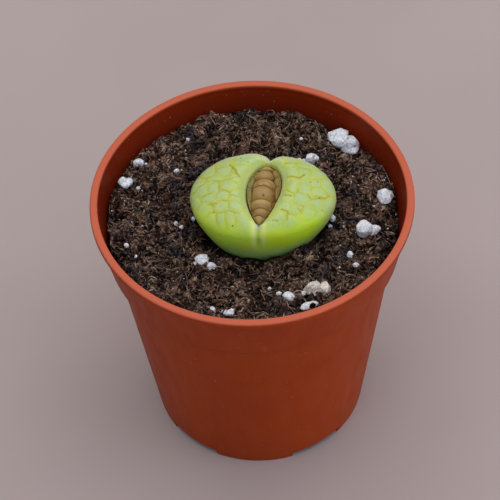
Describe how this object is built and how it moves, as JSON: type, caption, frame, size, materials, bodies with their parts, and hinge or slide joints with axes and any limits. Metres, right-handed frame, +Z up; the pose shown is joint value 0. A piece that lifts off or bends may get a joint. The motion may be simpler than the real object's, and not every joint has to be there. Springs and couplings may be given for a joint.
{
  "type": "potted lithops",
  "caption": "Living stone plant with a split, net-marked leaf pair and young leaves inside, in peat with perlite in a small tapered plastic nursery pot.",
  "frame": {"origin": "centre of the circle that the pot's feet stand on, on the surface", "axes": "+Z up along the pot's axis, +Y along the plant's fissure towards its blunt end, +X to the right seen from the fissure's pointed end"},
  "size_m": [0.055, 0.055, 0.0554],
  "materials": {
    "pot_plastic": "satin",
    "peat": "matte",
    "old_leaf": "satin",
    "young_leaf": "satin",
    "perlite": "matte"
  },
  "bodies": {
    "root": {"pot": "pot_plastic", "soil": "peat", "old_leaf_pair": "old_leaf", "new_leaf_pair": "young_leaf", "perlite_01": "perlite", "perlite_02": "perlite", "perlite_03": "perlite", "perlite_04": "perlite", "perlite_05": "perlite", "perlite_06": "perlite", "perlite_07": "perlite", "perlite_08": "perlite", "perlite_09": "perlite", "perlite_10": "perlite", "perlite_11": "perlite", "perlite_12": "perlite", "perlite_13": "perlite", "perlite_14": "perlite", "perlite_15": "perlite", "perlite_16": "perlite", "perlite_17": "perlite", "perlite_18": "perlite", "perlite_19": "perlite", "perlite_20": "perlite", "perlite_21": "perlite"}
  },
  "joints": []
}
